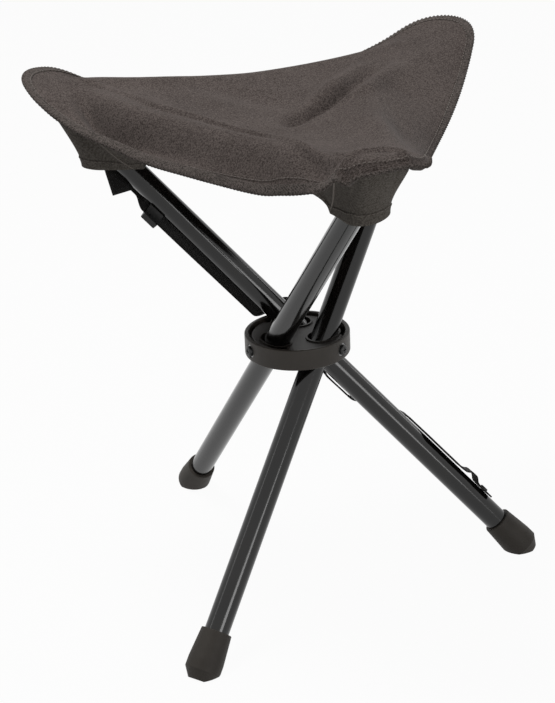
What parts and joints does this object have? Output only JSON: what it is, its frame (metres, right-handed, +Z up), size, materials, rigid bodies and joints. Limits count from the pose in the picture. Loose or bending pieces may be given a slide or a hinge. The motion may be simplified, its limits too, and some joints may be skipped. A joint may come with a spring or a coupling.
{
  "type": "tripod folding stool",
  "caption": "Folding camp stool: crossed tube legs turning on a round hub, a slung rounded-triangle cloth seat with corner pockets, and a carry strap on one leg.",
  "frame": {"origin": "at floor level, in the middle of the open stool's outline seen from above; the hub's axis is 7 mm along X and 11 mm along Y from it", "axes": "+Z up along the hub's axis; +Y towards the pivot screw of the leg that carries the strap; that leg's seat corner towards -X"},
  "size_m": [0.4554, 0.4199, 0.4812],
  "materials": {
    "gloss_black_tube": "gloss",
    "foot_rubber": "matt",
    "plug_plastic": "matt",
    "pocket_cloth": "woven",
    "seat_cloth": "woven",
    "binding_tape": "woven tape",
    "webbing": "ribbed webbing",
    "slider_plastic": "satin",
    "hub_ring_plastic": "satin",
    "hub_core_plastic": "satin",
    "black_screw": "black zinc",
    "washer_steel": "plated",
    "bush_nylon": "matt",
    "insert_brass": "turned",
    "rivet_steel": "black"
  },
  "bodies": {
    "hub": {"hub_ring": "hub_ring_plastic", "hub_core": "hub_core_plastic", "seat_panel": "seat_cloth", "seat_binding": "binding_tape", "leg_a_pivot_screw": "black_screw", "leg_a_pivot_washer": "washer_steel", "leg_a_pivot_bush": "bush_nylon", "leg_a_screw_insert": "insert_brass", "leg_b_pivot_screw": "black_screw", "leg_b_pivot_washer": "washer_steel", "leg_b_pivot_bush": "bush_nylon", "leg_b_screw_insert": "insert_brass", "leg_c_pivot_screw": "black_screw", "leg_c_pivot_washer": "washer_steel", "leg_c_pivot_bush": "bush_nylon", "leg_c_screw_insert": "insert_brass"},
    "leg_a": {"leg_a_tube": "gloss_black_tube", "leg_a_foot": "foot_rubber", "leg_a_tip_plug": "plug_plastic", "leg_a_pocket": "pocket_cloth"},
    "leg_b": {"leg_b_tube": "gloss_black_tube", "leg_b_foot": "foot_rubber", "leg_b_tip_plug": "plug_plastic", "leg_b_pocket": "pocket_cloth"},
    "leg_c": {"leg_c_tube": "gloss_black_tube", "leg_c_foot": "foot_rubber", "leg_c_tip_plug": "plug_plastic", "leg_c_pocket": "pocket_cloth", "carry_strap": "webbing", "strap_tab": "webbing", "strap_slider": "slider_plastic", "strap_rivet": "rivet_steel"}
  },
  "joints": [
    {"name": "leg_a_fold", "type": "hinge", "parent": "hub", "child": "leg_a", "pos_m": [-0.01422, -0.00125, 0.2315], "axis": [-0.866, -0.5, 0], "range_deg": [0, 42.2], "deforming": ["leg_a_pocket", "seat_panel", "seat_binding"]},
    {"name": "leg_b_fold", "type": "hinge", "parent": "hub", "child": "leg_b", "pos_m": [0.02822, -0.00125, 0.2315], "axis": [0.866, -0.5, 0], "range_deg": [0, 42.2], "deforming": ["leg_b_pocket"]},
    {"name": "leg_c_fold", "type": "hinge", "parent": "hub", "child": "leg_c", "pos_m": [0.007, 0.0355, 0.2315], "axis": [0, 1, 0], "range_deg": [0, 42.2], "deforming": ["leg_c_pocket"]}
  ],
  "couplings": [
    {"joint": "leg_b_fold", "follows": "leg_a_fold", "ratio": 1},
    {"joint": "leg_c_fold", "follows": "leg_a_fold", "ratio": 1}
  ]
}
